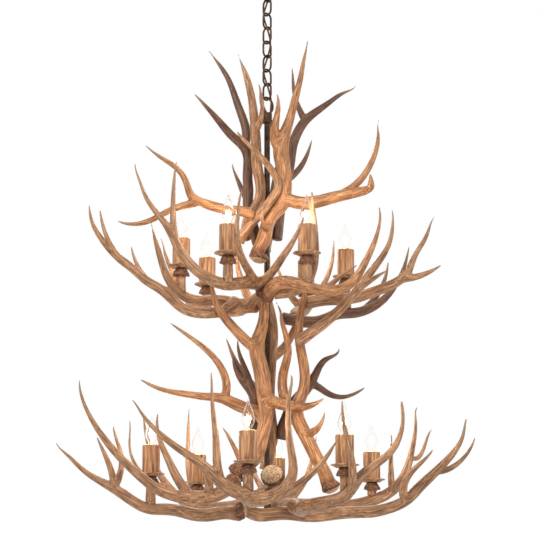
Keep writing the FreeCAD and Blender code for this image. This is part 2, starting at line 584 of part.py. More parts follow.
              (22, -137, -1080, 38), (16, -81, -1081, 36), (2, -2, -1080, 34)],
    ),
}

# Antlers that are fastened to each other, or to the stem, with a steel pin across the joint.
# The first of each pair is notched to fit the second.
STEM = "stem_tube"
PINNED_PAIRS = [
    ("crown_tall_antler", STEM),
    ("crown_back_antler", STEM),
    ("crown_dark_left_antler", "crown_back_antler"),
    ("crown_dark_right_antler", "crown_back_antler"),
    ("crown_front_antler", "crown_tall_antler"),
    ("crown_left_antler", "crown_front_antler"),
    ("crown_fork_antler", "crown_front_antler"),
    ("upper_left_antler", STEM),
    ("upper_left_low_antler", "upper_left_antler"),
    ("upper_left_low_antler", "column_front_antler"),
    ("upper_front_antler", "column_front_antler"),
    ("upper_burr_antler", "upper_front_antler"),
    ("upper_spike_antler", "upper_burr_antler"),
    ("upper_right_antler", "column_right_antler"),
    ("upper_diagonal_antler", "column_right_antler"),
    ("upper_right_dark_antler", "column_core_antler"),
    ("upper_back_right_antler", "column_core_antler"),
    ("upper_back_antler", "column_core_antler"),
    ("upper_back_left_antler", "upper_back_antler"),
    ("column_core_antler", STEM),
    ("column_right_antler", "column_front_antler"),
    ("column_left_antler", "column_front_antler"),
    ("column_dark_left_antler", "column_core_antler"),
    ("column_right_dark_antler", "column_core_antler"),
    ("lower_left_antler", "column_front_antler"),
    ("lower_burr_antler", STEM),
    ("lower_front_antler", "lower_burr_antler"),
    ("lower_back_right_antler", STEM),
    ("lower_back_left_antler", STEM),
    ("lower_back_antler", "lower_back_right_antler"),
    ("lower_bottom_antler", STEM),
    ("lower_right_antler", "lower_bottom_antler"),
    ("lower_left_outer_antler", "lower_bottom_antler"),
]

# Antlers that only bear against each other.
NOTCHED_PAIRS = [
    ("lower_back_left_antler", "lower_back_right_antler"),
    ("lower_back_right_antler", "lower_bottom_antler"),
    ("lower_back_right_antler", "lower_burr_antler"),
]


def slope(index, lengths, values):
    """How fast a value changes along the line at a station, weighed by the runs beside it."""
    if index in (0, len(values) - 1):
        index = max(index, 1)
        return (values[index] - values[index - 1]) * (1 / (lengths[index] - lengths[index - 1]))
    before, after = lengths[index] - lengths[index - 1], lengths[index + 1] - lengths[index]
    first = (values[index] - values[index - 1]) * (1 / before)
    second = (values[index + 1] - values[index]) * (1 / after)
    return first * (after / (before + after)) + second * (before / (before + after))


def smoothed(stations, spacing=RING_SPACING):
    """The same line as a smooth curve, with rings at an even spacing along it."""
    points = [Vector(x, y, HANG_Z + z) for x, y, z, diameter in stations]
    lengths = [0.0]
    for before, after in zip(points, points[1:]):
        lengths.append(lengths[-1] + before.distanceToPoint(after))
    count = max(2, round(lengths[-1] / spacing))
    rings = []
    for step in range(count + 1):
        length = lengths[-1] * step / count
        index = min(max(i for i, reach in enumerate(lengths) if reach <= length + 1e-9), len(points) - 2)
        run = lengths[index + 1] - lengths[index]
        t = (length - lengths[index]) / run
        point = (points[index] * (2 * t ** 3 - 3 * t ** 2 + 1)
                 + slope(index, lengths, points) * (run * (t ** 3 - 2 * t ** 2 + t))
                 + points[index + 1] * (3 * t ** 2 - 2 * t ** 3)
                 + slope(index + 1, lengths, points) * (run * (t ** 3 - t ** 2)))
        diameter = stations[index][3] * (1 - t) + stations[index + 1][3] * t
        rings.append((point, diameter))
    return rings


def branch(stations):
    """A tapering round horn through the stations, each ring square to the bend of the line."""
    rings = smoothed(stations)
    points = [point for point, diameter in rings]
    runs = [(after - before).normalize() for before, after in zip(points, points[1:])]
    directions = [runs[0]] + [(a + b).normalize() for a, b in zip(runs, runs[1:])] + [runs[-1]]
    sections = []
    across = runs[0].cross(Vector(0.3, 0.2, 1)).normalize()
    for (point, diameter), direction in zip(rings, directions):
        across = (across - direction * across.dot(direction)).normalize()
        circle = Part.Circle(point, direction, diameter / 2)
        circle.XAxis = across
        sections.append(Part.Wire([circle.toShape()]))
    return Part.makeLoft(sections, True)


def tine_stations(antler, tine):
    station, rest = tine
    x, y, z, diameter = antler.beam[station]
    return [(x, y, z, diameter * TINE_ROOT_SHARE)] + rest


def burr_ring(antler):
    """The swollen crown round the foot of the beam."""
    (x, y, z, diameter), after = antler.beam[0], antler.beam[1]
    foot = Vector(x, y, HANG_Z + z)
    along = (Vector(after[0], after[1], HANG_Z + after[2]) - foot).normalize()
    return Part.makeTorus(diameter / 2, BURR_HEIGHT / 2, foot + along * BURR_HEIGHT, along)


def antler_branches(antler):
    """The beam of an antler and its tines, as separate horns that run into each other."""
    return [branch(antler.beam)] + [branch(tine_stations(antler, tine)) for tine in antler.tines]


def antler_solid(antler):
    beam, *extras = antler_branches(antler)
    if antler.burr:
        extras.append(burr_ring(antler))
    return beam.fuse(extras) if extras else beam


def samples(name):
    """Balls that fill an antler or the stem, as middles and radii, none past a flat end."""
    if name == STEM:
        heights = range(0, int(STEM_LENGTH), int(SAMPLE_SPACING))
        return [(Vector(0, 0, STEM_TOP_Z - step), STEM_DIAMETER / 2) for step in heights]
    antler = ANTLERS[name]
    found = []
    for line in [antler.beam] + [tine_stations(antler, tine) for tine in antler.tines]:
        rings = smoothed(line, SAMPLE_SPACING)
        start, end = rings[0][0], rings[-1][0]
        for point, diameter in rings:
            radius = diameter / 2
            if min(point.distanceToPoint(start), point.distanceToPoint(end)) >= radius:
                found.append((point, radius))
    return found


def joint_line(first_balls, second_balls):
    """The middles of two antlers where they come nearest, surface to surface."""
    pairs = ((a.distanceToPoint(b) - ra - rb, a, b, ra, rb)
             for a, ra in first_balls for b, rb in second_balls)
    return min(pairs, key=lambda pair: pair[0])[1:]


def pin_reaches(hole, balls):
    middle = hole.CenterOfMass
    return any(middle.distanceToPoint(point) < radius + PIN_LENGTH / 2 for point, radius in balls)


def joint_pin(line, second, clearance=0.0):
    a, b, a_radius, b_radius = line
    along = (b - a).normalize()
    touch = a + along * a_radius
    into_second = STEM_WALL if second == STEM else min(PIN_LENGTH / 2, b_radius * 0.9)
    into_first = min(PIN_LENGTH / 2, a_radius * 0.9)
    start = touch - along * (into_first + clearance)
    length = into_first + into_second + 2 * clearance
    return Part.makeCylinder(PIN_DIAMETER / 2 + clearance, length, start, along)


# ---- candles ----
def candle_height(drop):
    return HANG_Z - drop


def post_foot(carrier, x, y):
    """Height of the foot of a post, just below the middle of the beam that carries it."""
    beam = ANTLERS[carrier].beam
    found = []
    for a, b in zip(beam, beam[1:]):
        run = Vector(b[0] - a[0], b[1] - a[1], 0)
        share = ((x - a[0]) * run.x + (y - a[1]) * run.y) / (run.Length ** 2)
        share = min(max(share, 0.0), 1.0)
        px, py, pz = (a[i] + share * (b[i] - a[i]) for i in range(3))
        found.append((math.hypot(px - x, py - y), HANG_Z + pz))
    return min(found)[1] - POST_SEAT


def candle_post(x, y, z, foot):
    top = -SAUCER_WALL
    burr_top, neck, burr = top - POST_BURR_DROP, POST_NECK_DIAMETER / 2, POST_BURR_DIAMETER / 2
    outline = [(0, top), (POST_DIAMETER / 2, top), (POST_DIAMETER / 2, top - POST_BURR_DROP / 2),
               (burr, burr_top), (burr, burr_top - POST_BURR_HEIGHT),
               (neck, burr_top - 2 * POST_BURR_HEIGHT), (POST_DIAMETER / 2, foot - z), (0, foot - z)]
    post = turned(outline, x, y, z)
    post.rotate(Vector(x, y, z), Vector(0, 0, 1), POST_SEAM_TURN)
    return post.cut(cylinder(CANDLE_NIPPLE_DIAMETER / 2, z - CANDLE_NIPPLE_DEPTH, z, x, y))


def candle_nipple(x, y, z):
    return cylinder(CANDLE_NIPPLE_DIAMETER / 2, z - CANDLE_NIPPLE_DEPTH, z + CANDLE_NUT_HEIGHT, x, y)


def candle_saucer(x, y, z):
    flat, rim, wall = SAUCER_FLAT / 2, SAUCER_DIAMETER / 2, SAUCER_WALL
    bore = CANDLE_NIPPLE_DIAMETER / 2
    rise = SAUCER_DEPTH - wall
    return turned([(bore, -wall), (flat, -wall), (rim - 4, rise - wall), (rim, rise - 1),
                   (rim, rise + 0.8), (rim - 1.6, rise + 1.2), (rim - 5, rise), (flat - 0.5, 0),
                   (bore, 0)], x, y, z)


def candle_nut(x, y, z):
    nut = hexagon(CANDLE_NIPPLE_DIAMETER + 6, z, z + CANDLE_NUT_HEIGHT, x, y)
    return nut.cut(cylinder(CANDLE_NIPPLE_DIAMETER / 2, z - 1, z + CANDLE_NUT_HEIGHT + 1, x, y))


def candle_socket(x, y, z):
    low = z + CANDLE_NUT_HEIGHT
    high = low + SOCKET_LENGTH
    mouth = cylinder(BULB_BASE_DIAMETER / 2 + SEAT_CLEARANCE, high - BULB_BASE_LENGTH + 4.0, high, x, y)
    return cylinder(SOCKET_DIAMETER / 2, low, high, x, y).cut(mouth)


def candle_sleeve(x, y, z):
    outside, mouth = SLEEVE_DIAMETER / 2, SLEEVE_MOUTH / 2
    top = SLEEVE_HEIGHT
    return turned([(outside - SLEEVE_WALL, 0), (outside - 1.5, 0), (outside - 0.4, 3), (outside, 30),
                   (outside - 0.8, top - 2), (outside - 3, top), (mouth, top - 1), (mouth, top - 4),
                   (outside - SLEEVE_WALL - 1, top - 4), (outside - SLEEVE_WALL, top - 8)], x, y, z)


def bulb_base(x, y, z):
    seat = z + CANDLE_NUT_HEIGHT + SOCKET_LENGTH - BULB_BASE_LENGTH + 4.0
    return cylinder(BULB_BASE_DIAMETER / 2, seat, seat + BULB_BASE_LENGTH, x, y)


def flame_outline(shrink, low, high):
    """Half outline of a flame-tip bulb, drawn in by the glass thickness."""
    widest, neck = BULB_DIAMETER / 2 - shrink, BULB_NECK_DIAMETER / 2 - shrink
    shares = [(0.0, neck), (0.16, neck * 1.12), (0.36, widest), (0.58, widest * 0.78),
              (0.78, widest * 0.36), (0.92, widest * 0.13)]
    length = high - low
    points = [Vector(radius, 0, low + share * length) for share, radius in shares]
    side = Part.BSplineCurve()
    side.interpolate(points + [Vector(0, 0, high)])
    return side.toShape()


def bulb_glass(x, y, z):
    low = CANDLE_NUT_HEIGHT + SOCKET_LENGTH + 4.0
    high = low + BULB_LENGTH
    sides = []
    for shrink, base, tip in ((0, low, high), (BULB_WALL, low + BULB_WALL, high - 3 * BULB_WALL)):
        side = flame_outline(shrink, base, tip)
        foot = Part.LineSegment(Vector(0, 0, base), side.Vertexes[0].Point).toShape()
        axis = Part.LineSegment(side.Vertexes[-1].Point, Vector(0, 0, base)).toShape()
        face = Part.Face(Part.Wire([foot, side, axis]))
        sides.append(face.revolve(Vector(0, 0, 0), Vector(0, 0, 1), 360))
    glass = sides[0].cut(sides[1])
    glass.translate(Vector(x, y, z))
    return glass


# ---- assembly ----
def build():
    nodes = {
        "ceiling_crossbar": ceiling_crossbar(),
        "canopy_nipple": canopy_nipple(),
        "nipple_nuts": nipple_nuts(),
        "ceiling_canopy": ceiling_canopy(),
        "canopy_loop": canopy_loop(),
        "cord_bushing": cord_bushing(),
        "cord_ceiling_end": cord_ceiling_end(),
        "chain_link_top": chain_link(1),
        "chain_links": Part.makeCompound([chain_link(n) for n in range(2, LINK_COUNT)]),
        "chain_link_bottom": chain_link(LINK_COUNT),
        "supply_cord": supply_cord(),
        "cord_fixture_end": cord_fixture_end(),
        "fixture_loop": fixture_loop(),
        "stem_nut": stem_nut(),
    }
    solids = {name: antler_solid(antler) for name, antler in ANTLERS.items()}
    solids[STEM] = stem_tube()
    stem_room = cylinder(STEM_DIAMETER / 2, STEM_TOP_Z - STEM_LENGTH, STEM_TOP_Z)
    for first, second in PINNED_PAIRS + NOTCHED_PAIRS:
        solids[first] = solids[first].cut(stem_room if second == STEM else solids[second])
    pins, pin_holes = [], []
    balls = {name: samples(name) for name in solids}
    for first, second in PINNED_PAIRS:
        line = joint_line(balls[first], balls[second])
        pins.append(joint_pin(line, second))
        pin_holes.append(joint_pin(line, second, PIN_CLEARANCE))
    for name in solids:
        near_holes = [hole for hole in pin_holes if pin_reaches(hole, balls[name])]
        if near_holes:
            solids[name] = solids[name].cut(near_holes)
    nodes["joint_pins"] = Part.makeCompound(pins)

    candles = [(x, y, candle_height(UPPER_SAUCER_DROP), carrier) for x, y, carrier in UPPER_CANDLES]
    candles += [(x, y, candle_height(LOWER_SAUCER_DROP), carrier) for x, y, carrier in LOWER_CANDLES]
    posts = [candle_post(x, y, z, post_foot(carrier, x, y)).cut(antler_branches(ANTLERS[carrier]))
             for x, y, z, carrier in candles]
    nodes["candle_posts"] = Part.makeCompound(posts)
    makers = {"candle_nipples": candle_nipple, "candle_saucers": candle_saucer, "candle_nuts": candle_nut,
              "candle_sockets": candle_socket, "candle_sleeves": candle_sleeve,
              "bulb_bases": bulb_base, "bulb_glass": bulb_glass}
    for name, maker in makers.items():
        nodes[name] = Part.makeCompound([maker(x, y, z) for x, y, z, carrier in candles])
    nodes.update(solids)
    return nodes


for name, shape in build().items():
    if len(shape.Solids) == 0 or not shape.isValid():
        print("bad shape:", name)
    shape.exportStep(f"parts/{name}.step")
for label, bar in (("canopy loop", 0), ("top link", 1), ("link before the last", LINK_COUNT - 1),
                   ("hanging point", LINK_COUNT)):
    print(f"{label} bar at {contact_z(bar):.2f} mm")
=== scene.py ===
import math
import bmesh
import bpy
import numpy as np
from mathutils import Matrix, Vector, noise
from mathutils.bvhtree import BVHTree


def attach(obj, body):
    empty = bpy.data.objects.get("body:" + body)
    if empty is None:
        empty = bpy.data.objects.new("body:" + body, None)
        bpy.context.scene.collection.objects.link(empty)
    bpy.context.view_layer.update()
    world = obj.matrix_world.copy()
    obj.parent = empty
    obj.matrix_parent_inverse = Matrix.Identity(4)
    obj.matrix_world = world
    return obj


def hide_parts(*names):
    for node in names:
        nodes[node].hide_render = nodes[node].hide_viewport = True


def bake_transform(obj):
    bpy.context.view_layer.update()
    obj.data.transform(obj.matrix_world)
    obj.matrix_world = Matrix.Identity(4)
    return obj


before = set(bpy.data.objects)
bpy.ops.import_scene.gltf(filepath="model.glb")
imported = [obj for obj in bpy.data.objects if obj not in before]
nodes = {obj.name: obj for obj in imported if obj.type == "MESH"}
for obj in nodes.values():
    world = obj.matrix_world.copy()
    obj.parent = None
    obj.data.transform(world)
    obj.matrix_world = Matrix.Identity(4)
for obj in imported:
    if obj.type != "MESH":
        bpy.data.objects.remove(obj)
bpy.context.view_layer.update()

mm = 0.001
scene = bpy.context.scene
scene.view_settings.view_transform = "Standard"


# ---- camera, light and backdrop ----
studio = dict(
    cameraPlace=(0.008, -4.695, -1.8824), cameraPitch=12.0, lens=117.65,
    floorDrop=-2.45, floorSize=9.0, floorTone=0.9,
    skyFill=0.75,
    keyPlace=(-1.7, -3.0, 0.9), keySize=1.4, keyWatts=70.0,
    sidePlace=(2.7, -1.9, 0.2), sideSize=1.4, sideWatts=24.0,
    backPlace=(0.4, 3.0, 0.9), backSize=1.6, backWatts=26.0,
    aim=(0.0, 0.0, -0.95),
)


def makeCamera():
    camera = bpy.data.objects.new("camera", bpy.data.cameras.new("camera"))
    camera.data.lens = studio["lens"]
    camera.data.sensor_width = 36.0
    camera.data.clip_end = 60.0
    camera.location = studio["cameraPlace"]
    camera.rotation_euler = (math.radians(90 + studio["cameraPitch"]), 0, 0)
    scene.collection.objects.link(camera)
    scene.camera = camera


def makeLamp(name):
    place = Vector(studio[name + "Place"])
    lamp = bpy.data.objects.new(name, bpy.data.lights.new(name, "AREA"))
    lamp.data.shape = "DISK"
    lamp.data.size = studio[name + "Size"]
    lamp.data.energy = studio[name + "Watts"]
    lamp.location = place
    lamp.rotation_euler = (Vector(studio["aim"]) - place).to_track_quat("-Z", "Y").to_euler()
    scene.collection.objects.link(lamp)


# ---- shader helpers ----
def paint(red, green, blue):
    channels = [c / 255 for c in (red, green, blue)]
    linear = [c / 12.92 if c <= 0.04045 else ((c + 0.055) / 1.055) ** 2.4 for c in channels]
    return (*linear, 1.0)


class Wire:                                     # one socket, so that shader maths reads as Python
    def __init__(self, finish, socket):
        self.finish, self.socket = finish, socket

    def math(self, operation, first, second):
        return self.finish.node("ShaderNodeMath", dict(operation=operation), {0: first, 1: second})

    def __add__(self, other):
        return self.math("ADD", self, other)

    def __sub__(self, other):
        return self.math("SUBTRACT", self, other)

    def __rsub__(self, other):
        return self.math("SUBTRACT", other, self)

    def __mul__(self, other):
        return self.math("MULTIPLY", self, other)

    __radd__, __rmul__ = __add__, __mul__


class Finish:                                   # a material and its nodes
    def __init__(self, name):
        self.material = bpy.data.materials.new(name)
        self.material.use_nodes = True
        self.tree = self.material.node_tree
        self.tree.nodes.clear()

    def node(self, kind, settings=None, values=None, output=0):
        made = self.tree.nodes.new(kind)
        for name, value in (settings or {}).items():
            if name == "stops":
                ramp = made.color_ramp.elements
                while len(ramp) < len(value):
                    ramp.new(0.5)
                for element, (position, colour) in zip(ramp, value):
                    element.position, element.color = position, colour
            else:
                setattr(made, name, value)
        for key, value in (values or {}).items():
            if isinstance(value, Wire):
                self.tree.links.new(value.socket, made.inputs[key])
            else:
                made.inputs[key].default_value = value
        return Wire(self, made.outputs[output])

    def attribute(self, name, output="Fac"):
        return self.node("ShaderNodeAttribute", dict(attribute_name=name), output=output)

    def place(self):
        return self.node("ShaderNodeTexCoord", output="Object")

    def noise(self, vector, scale, detail=3.0, rough=0.55):
        values = {"Vector": vector, "Scale": scale, "Detail": detail, "Roughness": rough}
        return self.node("ShaderNodeTexNoise", None, values)

    def ramp(self, factor, *stops):
        return self.node("ShaderNodeValToRGB", dict(stops=stops), {0: factor})

    def grey(self, factor, low, high):          # 0 below low, 1 above high
        values = {"Value": factor, "From Min": low, "From Max": high}
        return self.node("ShaderNodeMapRange", dict(clamp=True), values)

    def mix(self, factor, first, second):
        return self.node("ShaderNodeMix", dict(data_type="RGBA"), {0: factor, 6: first, 7: second}, 2)

    def multiply(self, factor, first, second):
        settings = dict(data_type="RGBA", blend_type="MULTIPLY")
        return self.node("ShaderNodeMix", settings, {0: factor, 6: first, 7: second}, 2)

    def bump(self, height, distance, strength=1.0):
        values = {"Height": height, "Distance": distance, "Strength": strength}
        return self.node("ShaderNodeBump", None, values)

    def surface(self, **values):
        sockets = {key.replace("_", " "): value for key, value in values.items()}
        shader = self.node("ShaderNodeBsdfPrincipled", None, sockets)
        out = self.tree.nodes.new("ShaderNodeOutputMaterial")
        self.tree.links.new(shader.socket, out.inputs["Surface"])
        return self.material


def makeBackdrop():
    world = bpy.data.worlds.new("sky")
    scene.world = world
    world.use_nodes = True
    tree = world.node_tree
    tree.nodes.clear()
    path = tree.nodes.new("ShaderNodeLightPath")
    seen = tree.nodes.new("ShaderNodeMath")
    seen.operation = "MAXIMUM"
    tree.links.new(path.outputs["Is Camera Ray"], seen.inputs[0])
    through = tree.nodes.new("ShaderNodeMath")
    through.operation = "MAXIMUM"
    tree.links.new(path.outputs["Is Glossy Ray"], through.inputs[0])
    tree.links.new(path.outputs["Is Transmission Ray"], through.inputs[1])
    tree.links.new(through.outputs[0], seen.inputs[1])
    level = tree.nodes.new("ShaderNodeMapRange")
    level.inputs["To Min"].default_value = studio["skyFill"]
    level.inputs["To Max"].default_value = 1.0
    tree.links.new(seen.outputs[0], level.inputs["Value"])
    sky = tree.nodes.new("ShaderNodeBackground")
    sky.inputs["Color"].default_value = (1, 1, 1, 1)
    tree.links.new(level.outputs[0], sky.inputs["Strength"])
    out = tree.nodes.new("ShaderNodeOutputWorld")
    tree.links.new(sky.outputs[0], out.inputs[0])
    half = studio["floorSize"] / 2
    bm = bmesh.new()
    bmesh.ops.create_grid(bm, x_segments=1, y_segments=1, size=half,
                          matrix=Matrix.Translation((0, 0, studio["floorDrop"])))
    floor = objectFrom("floor", bm)
    tone = studio["floorTone"]
    matt = Finish("floorPaint").surface(Base_Color=(tone, tone, tone, 1), Roughness=0.9)
    floor.data.materials.append(matt)


def objectFrom(name, bm):
    mesh = bpy.data.meshes.new(name)
    bm.to_mesh(mesh)
    bm.free()
    made = bpy.data.objects.new(name, mesh)
    scene.collection.objects.link(made)
    return made


# ---- antler finish ----
antlerTones = dict(
    golden=dict(light=paint(226, 170, 118), mid=paint(186, 128, 80), deep=paint(112, 68, 36)),
    tan=dict(light=paint(214, 166, 122), mid=paint(172, 124, 84), deep=paint(100, 66, 40)),
    # the dark tone is partly the antlers' own darker colour and partly painted shade
    dark=dict(light=paint(150, 104, 70), mid=paint(108, 68, 42), deep=paint(58, 34, 20)),
)
antlerLook = dict(
    burr=paint(140, 84, 50), pit=paint(66, 36, 22), bone=paint(214, 186, 146), tip=paint(150, 122, 92),
    # the crease strength darkens the grooves as painted shade
    creaseWidth=0.035, creasePaintedShade=0.75, patchScale=22.0, bumpDepth=0.5 * mm,
)


def antlerFinish(name, tone):
    look = antlerLook
    finish = Finish(name)
    grain = finish.attribute("grain", "Vector")
    thick = finish.attribute("thick")
    burr = finish.attribute("burr")
    bone = finish.attribute("bone")
    relief = finish.attribute("relief")
    streak = finish.noise(grain, 1.7, 5.0, 0.6)
    fine = finish.noise(grain, 5.0, 3.0, 0.6)
    groove = finish.noise(grain, 0.85, 2.0, 0.5)
    patch = finish.noise(finish.place(), look["patchScale"], 3.0)
    speck = finish.noise(finish.place(), 260.0, 2.0)
    distance = finish.node("ShaderNodeMath", dict(operation="ABSOLUTE"), {0: groove - 0.5})
    crease = finish.grey(distance, look["creaseWidth"], 0.0)
    wood = finish.ramp(streak * 0.75 + patch * 0.25,
                       (0.36, tone["deep"]), (0.5, tone["mid"]), (0.64, tone["light"]))
    # painted shade: the grooves are darkened towards the deep tone; the same crease mask also bumps the
    # surface
    wood = finish.multiply(crease * look["creasePaintedShade"], wood, tone["deep"])
    # painted shade: where the displaced surface sinks into a groove, the colour is pulled towards the deep
    # tone
    hollowPaintedShade = finish.grey(relief, 0.35, -0.9)
    wood = finish.mix(hollowPaintedShade * 0.55, wood, tone["deep"])
    tipMask = finish.grey(thick, 6.5, 2.5)
    wood = finish.mix(tipMask * 0.6, wood, look["tip"])
    # the burr crust is speckled between the pit and burr colours; the relief term also darkens the sunken
    # pits as painted shade
    crust = finish.mix(finish.grey(speck + relief * 0.3, 0.42, 0.6), look["pit"], look["burr"])
    wood = finish.mix(burr * 0.85, wood, crust)
    wood = finish.mix(bone, wood, finish.mix(finish.grey(speck, 0.35, 0.6), look["burr"], look["bone"]))
    height = streak * 0.5 + fine * 0.25 - crease * 0.6 + speck * burr * 0.8
    rough = 0.42 + finish.grey(streak, 0.3, 0.7) * 0.16 + burr * 0.2
    return finish.surface(Base_Color=wood, Roughness=rough, Normal=finish.bump(height, look["bumpDepth"]))


# ---- antlers ----
# the dark tone goes to antlers that sit in shadow at the back and underneath: partly their own darker
# colour, partly painted shade
antlerToneOf = dict(
    crown_dark_left_antler="dark", crown_dark_right_antler="dark", upper_right_dark_antler="dark",
    column_dark_left_antler="dark", column_right_dark_antler="dark", crown_back_antler="dark",
    crown_fork_antler="golden", column_front_antler="golden", column_right_antler="golden",
    crown_left_antler="golden", upper_burr_antler="golden", lower_burr_antler="dark",
    column_left_antler="golden", upper_back_antler="golden", upper_back_left_antler="golden",
)
feet = dict(                                    # foot of a burr, next place up the beam, width there, in mm
    crown_fork_antler=((-24, -45, -465), (-14, -45, -418), 46),
    crown_tall_antler=((-71, -40, -403), (-41, -22, -331), 34),
    upper_burr_antler=((-4, -111, -578), (23, -168, -558), 36),
    upper_front_antler=((-5, -73, -557), (-29, -107, -542), 42),
    column_front_antler=((-84, -70, -1048), (-55, -78, -1023), 44),
    column_right_antler=((171, -40, -1082), (150, -45, -1035), 44),
    lower_left_antler=((-81, -87, -1062), (-115, -108, -1092), 44),
    lower_left_outer_antler=((-59, -33, -1133), (-101, -35, -1141), 40),
    lower_back_antler=((25, 94, -1100), (24, 174, -1103), 38),
    lower_burr_antler=((13, -240, -1059), (16, -225, -1065), 54),
)
hornShape = dict(
    voxel=2.6 * mm, smoothRounds=4, spreadRounds=14, hangDrop=-401.8 * mm,
    grooveWidth=6.0 * mm, alongStretch=0.085, grooveDepth=0.8 * mm,
    pearls=15, pearlSize=3.4 * mm, ringRise=7.0 * mm, domeRise=7.0 * mm,
    crustMiddle=6 * mm, crustHalf=8 * mm, crustReach=17.0 * mm, pitScale=210, pitDepth=1.1 * mm,
)


def copyOf(name):
    bm = bmesh.new()
    bm.from_mesh(nodes[name].data)
    bmesh.ops.remove_doubles(bm, verts=bm.verts, dist=1e-6)
    return bm


def footOf(name):
    foot, after, width = feet[name]
    drop = Vector((0, 0, hornShape["hangDrop"]))
    foot, after = Vector(foot) * mm + drop, Vector(after) * mm + drop
    return foot, (after - foot).normalized(), width * mm / 2


def addPearls(bm, middle, along, radius, seed):     # the knobs of a burr, run together by the remesh
    turn = along.to_track_quat("Z", "Y").to_matrix().to_4x4()
    for row, (rise, out, size) in enumerate(((0, 1.10, 1.0), (6.5 * mm, 1.0, 0.8), (12 * mm, 0.93, 0.6))):
        count = hornShape["pearls"]
        for number in range(count):
            wobble = noise.noise(Vector((seed * 3.1, row * 5.3, number * 1.7)))
            angle = math.tau * (number + 0.5 * row + 0.3 * wobble) / count
            spot = Vector((math.cos(angle), math.sin(angle), 0)) * radius * out
            spot.z = rise + 1.5 * mm * wobble
            girth = hornShape["pearlSize"] * size * (1 + 0.35 * wobble)
            place = Matrix.Translation(middle) @ turn @ Matrix.Translation(spot)
            bmesh.ops.create_icosphere(bm, subdivisions=1, radius=girth, matrix=place)


def remeshed(name, bm):                         # runs beams, tines and pearls into one skin
    rough = objectFrom(name + "Rough", bm)
    remesh = rough.modifiers.new("voxels", "REMESH")
    remesh.mode = "VOXEL"
    remesh.voxel_size = hornShape["voxel"]
    smooth = rough.modifiers.new("smooth", "SMOOTH")
    smooth.iterations = hornShape["smoothRounds"]
    smooth.factor = 0.5
    mesh = bpy.data.meshes.new_from_object(rough.evaluated_get(bpy.context.evaluated_depsgraph_get()))
    bpy.data.objects.remove(rough)
    made = bpy.data.objects.new(name, mesh)
    scene.collection.objects.link(made)
    return made


def spread(values, edges, rounds):              # evens a value out over the surface
    count = len(values)
    share = np.bincount(edges.ravel(), minlength=count).clip(1)
    for _ in range(rounds):
        total = np.empty_like(values)
        for axis in range(values.shape[1]):
            column = values[:, axis]
            total[:, axis] = np.bincount(edges[:, 0], column[edges[:, 1]], count)
            total[:, axis] += np.bincount(edges[:, 1], column[edges[:, 0]], count)
        values = 0.4 * values + 0.6 * total / share[:, None]
    return values


def read(items, key, size):
    values = np.empty(len(items) * size, dtype=np.int32 if key == "vertices" else np.float32)
    items.foreach_get(key, values)
    return values.reshape(-1, size)


def store(mesh, name, kind, values):
    key = "vector" if kind == "FLOAT_VECTOR" else "value"
    mesh.attributes.new(name, kind, "POINT").data.foreach_set(key, values.astype(np.float32).ravel())


def grow(made, burrs, seed):                    # grain, thickness, grooves and crust of an antler
    shape, mesh = hornShape, made.data
    points = read(mesh.vertices, "co", 3).astype(float)
    normals = read(mesh.vertices, "normal", 3).astype(float)
    edges = read(mesh.edges, "vertices", 2)
    tree = BVHTree.FromPolygons([v.co for v in mesh.vertices], [tuple(p.vertices) for p in mesh.polygons])
    reach = np.empty((len(points), 1))
    for index, (point, normal) in enumerate(zip(points, normals)):
        start, inward = Vector(point), -Vector(normal)
        distance = tree.ray_cast(start + inward * 0.3 * mm, inward, 0.08)[3]
        reach[index] = 0.5 * (distance if distance else 20 * mm)
    reach = spread(reach.clip(1.5 * mm, 26 * mm), edges, 20)
    outward = spread(normals, edges, shape["spreadRounds"])
    outward /= np.linalg.norm(outward, axis=1, keepdims=True).clip(1e-6)
    grain = outward * reach / shape["grooveWidth"]
    grain = grain + points * shape["alongStretch"] / shape["grooveWidth"] + seed
    crust, bone = np.zeros(len(points)), np.zeros(len(points))
    for middle, along, radius in burrs:
        away = points - np.array(middle)
        up = away @ np.array(along)
        side = np.linalg.norm(away - up[:, None] * np.array(along), axis=1)
        beyond = np.maximum(np.abs(up - shape["crustMiddle"]) - shape["crustHalf"], 0)
        near = np.clip(1 - beyond / shape["crustReach"], 0, 1)
        crust = np.maximum(crust, near * (side < radius * 1.5))
        bone = np.maximum(bone, ((up < -5 * mm) & (side < radius * 1.05) & (up > -26 * mm)) * 1.0)
    relief = np.empty(len(points))
    for index, spot in enumerate(grain):
        groove = noise.noise(Vector(spot * 0.85))
        wave = noise.noise(Vector(spot * 0.4 + 7.0))
        relief[index] = 0.45 * wave - max(0.0, 1 - abs(groove) / 0.16)
    pits = np.array([noise.noise(Vector(p * shape["pitScale"])) for p in points]) * crust
    strength = np.clip((reach[:, 0] / mm - 3) / 9, 0, 1) * (1 - bone)
    depth = relief * shape["grooveDepth"] * strength + shape["pitDepth"] * pits
    points += normals * depth[:, None]
    mesh.vertices.foreach_set("co", points.astype(np.float32).ravel())
    mesh.update()
    store(mesh, "grain", "FLOAT_VECTOR", grain)
    store(mesh, "thick", "FLOAT", reach[:, 0] / mm)
    store(mesh, "relief", "FLOAT", relief * strength + pits)
    store(mesh, "burr", "FLOAT", crust)
    store(mesh, "bone", "FLOAT", bone)
    mesh.shade_smooth()


